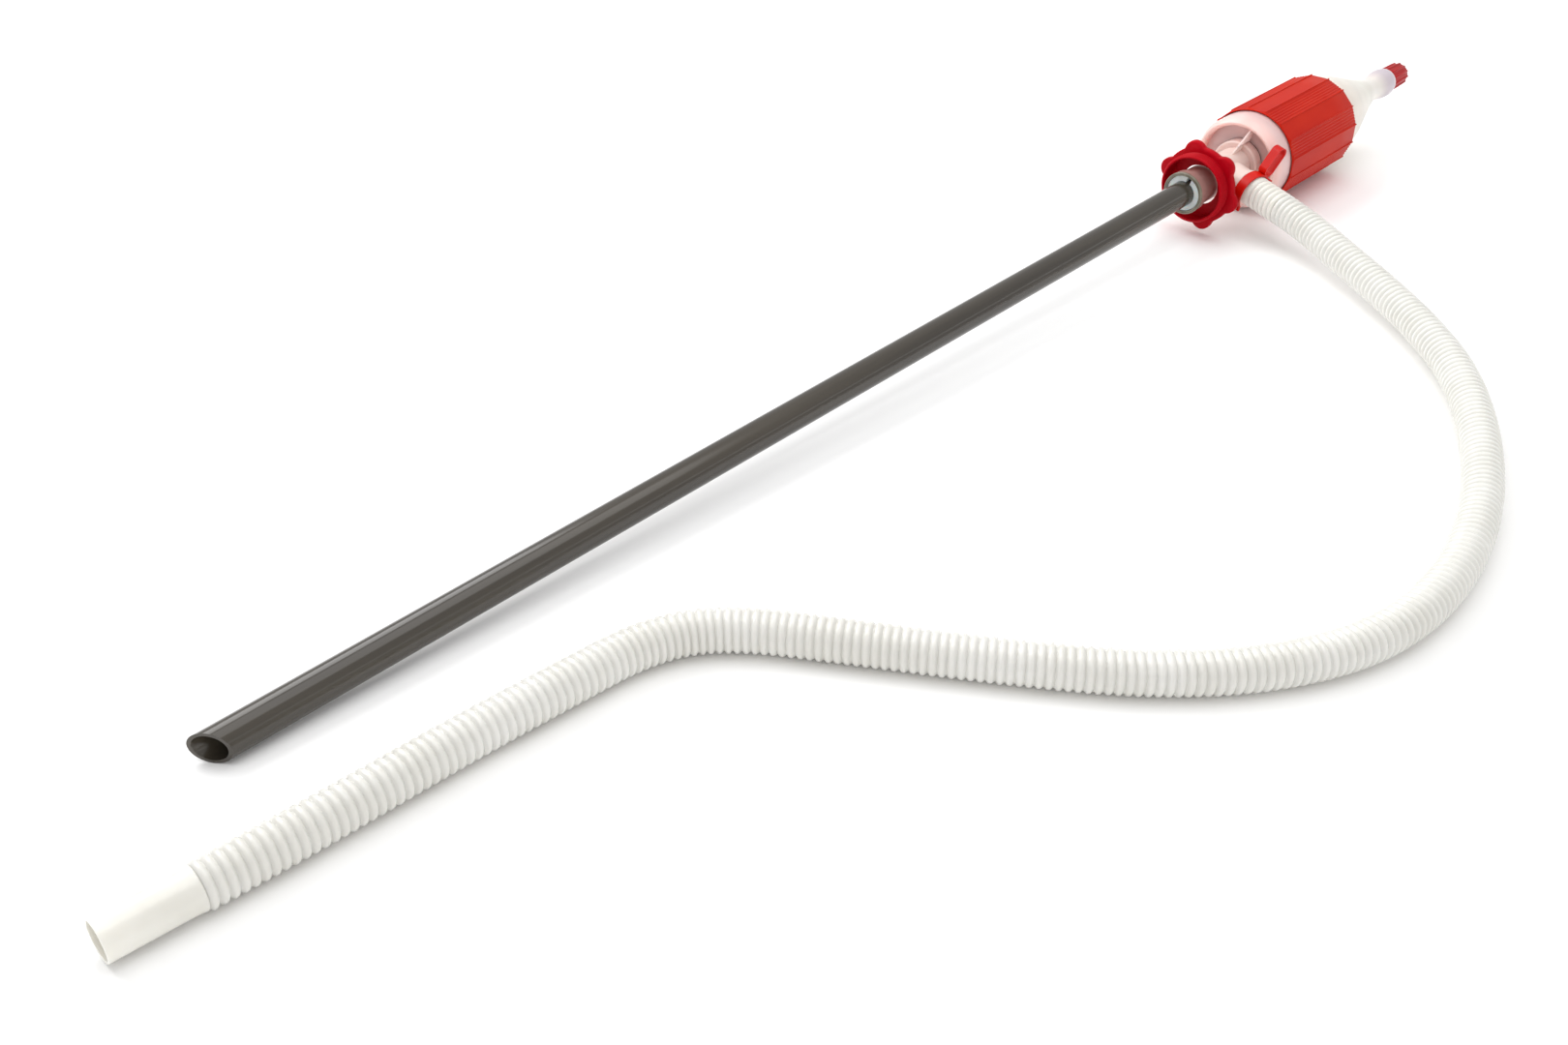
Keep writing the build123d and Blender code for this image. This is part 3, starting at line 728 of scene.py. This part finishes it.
class PUMP_OT_bung_nut(bpy.types.Operator):
    """Builds the lobed bung nut with its threaded skirt

    The thread's radius is the root's plus 1.25 mm times a triangle wave of the distance along
    the skirt over the pitch, less the turn, and it fades out at both ends"""

    bl_idname = "pump.bung_nut"
    bl_label = "Bung Nut"

    def execute(self, context):
        settings = context.scene.pump_parts
        low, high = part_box("bung_nut")
        centre = axis_of("bung_nut")
        angle = np.linspace(0, TAU, 288, endpoint=False)
        lobed = self.lobes(settings, angle)
        hub = 32.4 * MM
        rim, front, back = low.x, low.x + 11 * MM, high.x
        rows = [(rim + 0.5 * MM + 0 * angle, 26.7 * MM + 0 * angle),
                (rim + 0 * angle, 27.2 * MM + 0 * angle),
                (rim + 0 * angle, 28.2 * MM + 0 * angle)]
        for along in np.arange(0.6, 9.6, 0.385) * MM:
            turn = along / settings.thread_pitch - angle / TAU
            flank = np.abs(2 * (turn % 1) - 1)
            fade = min(1.0, along / (2 * MM), (10.2 * MM - along) / (1.5 * MM))
            rows.append((rim + along + 0 * angle, 28.5 * MM + 1.25 * MM * fade * flank))
        rows += [
            (front - 0.4 * MM + 0 * angle, 28.6 * MM + 0 * angle),
            (front + 0 * angle, 29.0 * MM + 0 * angle),
            (front + 0 * angle, np.minimum(lobed - 1.2 * MM, hub)),
            (front + 0 * angle, lobed - 1.2 * MM),
            (front + 0.25 * MM + 0 * angle, lobed - 0.5 * MM),
            (front + 0.9 * MM + 0 * angle, lobed),
            (front + 3 * MM + 0 * angle, lobed + 0.1 * MM),
            (back - 0.9 * MM + 0 * angle, lobed),
            (back - 0.25 * MM + 0 * angle, lobed - 0.5 * MM),
            (back + 0 * angle, lobed - 1.2 * MM),
            (back + 0 * angle, 18 * MM + 0 * angle),
            (back - 0.4 * MM + 0 * angle, 17.2 * MM + 0 * angle),
            (back - 2.6 * MM + 0 * angle, 17.2 * MM + 0 * angle),
            (back - 3 * MM + 0 * angle, 17.6 * MM + 0 * angle),
            (back - 3 * MM + 0 * angle, 26.0 * MM + 0 * angle),
            (back - 3.6 * MM + 0 * angle, 26.6 * MM + 0 * angle),
        ]
        points = np.stack([round_axis(along, radius, angle, centre) for along, radius in rows])
        material = polypropylene("polypropylene, crimson", "#A60012", "#B40216", 0.42, 0.08)
        nut = surface("lobed_bung_nut", points, material, 40.0)
        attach(nut, "bung")
        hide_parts("bung_nut")
        return {"FINISHED"}

    def lobes(self, settings, angle):
        """The outline of the flange: the larger of the hub's circle and of each lobe's.

        A lobe's far side is at distance c cos(a) + sqrt(r^2 - c^2 sin^2(a)) from the axis,
        where c is how far out its centre is and a the angle from it. The two are blended
        over a millimetre, so the hollows between lobes are rounded."""
        reach, size, hub = 29.3 * MM, 9.2 * MM, 33.2 * MM
        sector = TAU / settings.nut_lobes
        off = (angle - math.radians(15) + sector / 2) % sector - sector / 2
        under = np.clip(size**2 - (reach * np.sin(off)) ** 2, 0, None)
        lobe = np.where(under > 0, reach * np.cos(off) + np.sqrt(under), 0)
        soft = 0.9 * MM
        return soft * np.logaddexp(hub / soft, lobe / soft)


class PUMP_OT_plain_parts(bpy.types.Operator):
    """Gives the parts whose CAD shape is final their materials"""

    bl_idname = "pump.plain_parts"
    bl_label = "Plain Parts"

    def execute(self, context):
        rubber = nitrile_rubber()
        # The neck's tint is painted: dark brownish pink at X = 0.262 to 0.285, where the red nut
        # shades it and glows on it, then pale pink beyond, where the red parts' glow still falls.
        neck = natural_polyethylene(
            "natural HDPE, neck",
            ((0.262, "#A87C76"), (0.285, "#C49A92"), (0.305, "#F8E2D8"), (0.35, "#F2D6CE")),
            0.12,
        )
        # The cup's pink is painted red glow from the grip sleeve; it deepens towards X = 0.37,
        # next to the sleeve, where painted shade is added to the glow.
        cup = natural_polyethylene(
            "natural HDPE, cup", ((0.345, "#F4CEC8"), (0.37, "#EDBCBA")), 0.0, 0.8, 0.008
        )
        # The inner parts turn pinker towards X = 0.40, inside the red sleeve: painted red glow.
        inner = natural_polyethylene(
            "natural HDPE, inner parts", ((0.30, "#F4E4DC"), (0.40, "#F0D4CE")), 0.2
        )
        finishes = {
            "suction_tube": extruded_pvc(),
            "tube_collet": moulded_nylon(),
            "collar_ring": moulded_pvc(),
            "hose_clip": polypropylene("polypropylene, red", "#BC0600", "#CC1404", 0.34, 0.25),
            "vent_plug": polypropylene("polypropylene, lilac grey", "#8E889C", "#A29CB0", 0.4),
        }
        for node in ("tube_seal", "cup_gasket", "inlet_valve_disc", "outlet_valve_disc",
                     "piston_seal_front", "piston_seal_rear"):
            finishes[node] = rubber
        for node in ("neck_tee", "outlet_spigot"):
            finishes[node] = neck
        for node in ("inlet_valve_seat", "inlet_valve_cage", "outlet_valve_seat", "piston_head"):
            finishes[node] = inner
        for node in ("cylinder_cup", "cylinder_stop_ring"):
            finishes[node] = cup
        for node, material in finishes.items():
            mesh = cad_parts[node].data
            mesh.materials.clear()
            mesh.materials.append(material)
        return {"FINISHED"}


class PUMP_PT_panel(bpy.types.Panel):
    """Lists the pump's pieces and their settings"""

    bl_idname = "PUMP_PT_panel"
    bl_label = "Drum Pump"
    bl_space_type = "VIEW_3D"
    bl_region_type = "UI"
    bl_category = "Drum Pump"

    def draw(self, context):
        for name in ("pump_stage", "pump_hose", "pump_parts"):
            group = getattr(context.scene, name)
            box = self.layout.box()
            for key in group.__annotations__:
                box.prop(group, key)
        for operator in OPERATORS:
            self.layout.operator(operator.bl_idname)


OPERATORS = (
    PUMP_OT_stage, PUMP_OT_hose, PUMP_OT_grip_sleeve, PUMP_OT_bottle, PUMP_OT_vent_cap,
    PUMP_OT_bung_nut, PUMP_OT_plain_parts,
)
GROUPS = {"pump_stage": StageSettings, "pump_hose": HoseSettings, "pump_parts": PumpSettings}


def register():
    for group in GROUPS.values():
        bpy.utils.register_class(group)
    for operator in OPERATORS:
        bpy.utils.register_class(operator)
    bpy.utils.register_class(PUMP_PT_panel)
    for name, group in GROUPS.items():
        setattr(bpy.types.Scene, name, PointerProperty(type=group))


def unregister():
    for name in GROUPS:
        delattr(bpy.types.Scene, name)
    bpy.utils.unregister_class(PUMP_PT_panel)
    for operator in reversed(OPERATORS):
        bpy.utils.unregister_class(operator)
    for group in reversed(list(GROUPS.values())):
        bpy.utils.unregister_class(group)


def main():
    register()
    bpy.ops.pump.stage()
    bpy.ops.pump.hose()
    bpy.ops.pump.grip_sleeve()
    bpy.ops.pump.bottle()
    bpy.ops.pump.vent_cap()
    bpy.ops.pump.bung_nut()
    bpy.ops.pump.plain_parts()


if __name__ == "__main__":
    main()
